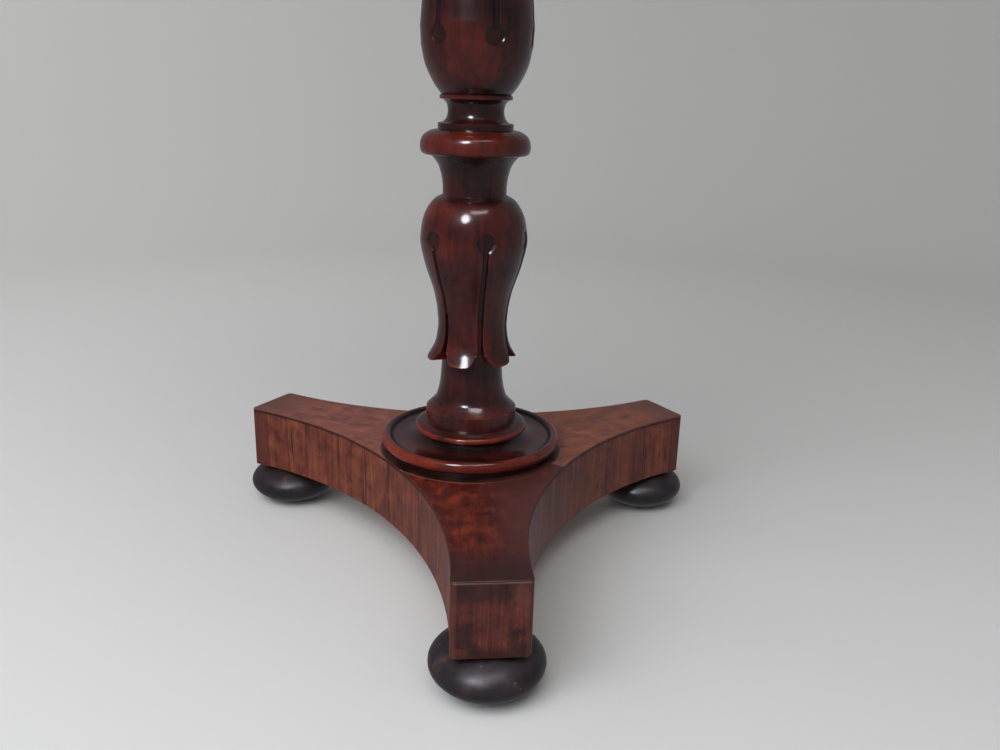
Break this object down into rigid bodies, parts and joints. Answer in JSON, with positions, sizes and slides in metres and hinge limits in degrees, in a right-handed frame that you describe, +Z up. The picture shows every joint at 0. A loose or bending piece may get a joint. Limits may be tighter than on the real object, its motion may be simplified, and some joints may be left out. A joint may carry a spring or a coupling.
{
  "type": "tilt top table",
  "caption": "Round tilt-top table on a turned and carved pillar with a flat three-armed plinth on bun feet",
  "frame": {"origin": "on the floor, on the pillar's axis", "axes": "+Z up; the front arm of the plinth points along -Y; the top's pivot runs along X, behind the pillar"},
  "size_m": [0.5798, 0.58, 0.72],
  "materials": {
    "mahogany_veneer": "worn satin shellac on mahogany veneer",
    "polished_mahogany": "French polish, glossy",
    "pine_core": "bare sawn pine, aged",
    "plain_hardwood": "planed, unpolished",
    "ebonised_wood": "ebonised, dusty satin",
    "brass": "aged, satin",
    "steel": "dull, darkened",
    "spring_steel": "drawn wire"
  },
  "bodies": {
    "base": {"platform_core": "pine_core", "top_veneer_front": "mahogany_veneer", "top_veneer_left": "mahogany_veneer", "top_veneer_right": "mahogany_veneer", "side_veneer_left": "mahogany_veneer", "side_veneer_right": "mahogany_veneer", "side_veneer_back": "mahogany_veneer", "end_veneer_front": "mahogany_veneer", "end_veneer_left": "mahogany_veneer", "end_veneer_right": "mahogany_veneer", "foot_front": "ebonised_wood", "foot_left": "ebonised_wood", "foot_right": "ebonised_wood", "dish_collar": "polished_mahogany", "ring_collar": "polished_mahogany", "lower_column": "polished_mahogany", "upper_column": "polished_mahogany", "base_wedge": "plain_hardwood", "top_wedge": "plain_hardwood", "pivot_block": "plain_hardwood", "striker_plate": "brass", "striker_screws": "brass"},
    "top": {"top_board_front": "polished_mahogany", "top_board_middle": "polished_mahogany", "top_board_rear": "polished_mahogany", "bearer_left": "plain_hardwood", "bearer_right": "plain_hardwood", "bearer_screws": "steel", "catch_body": "brass", "catch_end_plate": "brass", "catch_screws": "brass", "catch_spring": "spring_steel"},
    "bolt": {"catch_bolt": "brass", "catch_knob": "brass"}
  },
  "joints": [
    {"name": "top_tilt", "type": "hinge", "parent": "base", "child": "top", "pos_m": [0, 0.0658, 0.6868], "axis": [-1, 0, 0], "range_deg": [0, 90]},
    {"name": "catch_slide", "type": "slide", "parent": "top", "child": "bolt", "axis": [0, -1, 0], "range_m": [-0.008, 0.0015], "stiffness_N_per_m": 300, "springref_m": -0.018, "deforming": ["catch_spring"]}
  ]
}
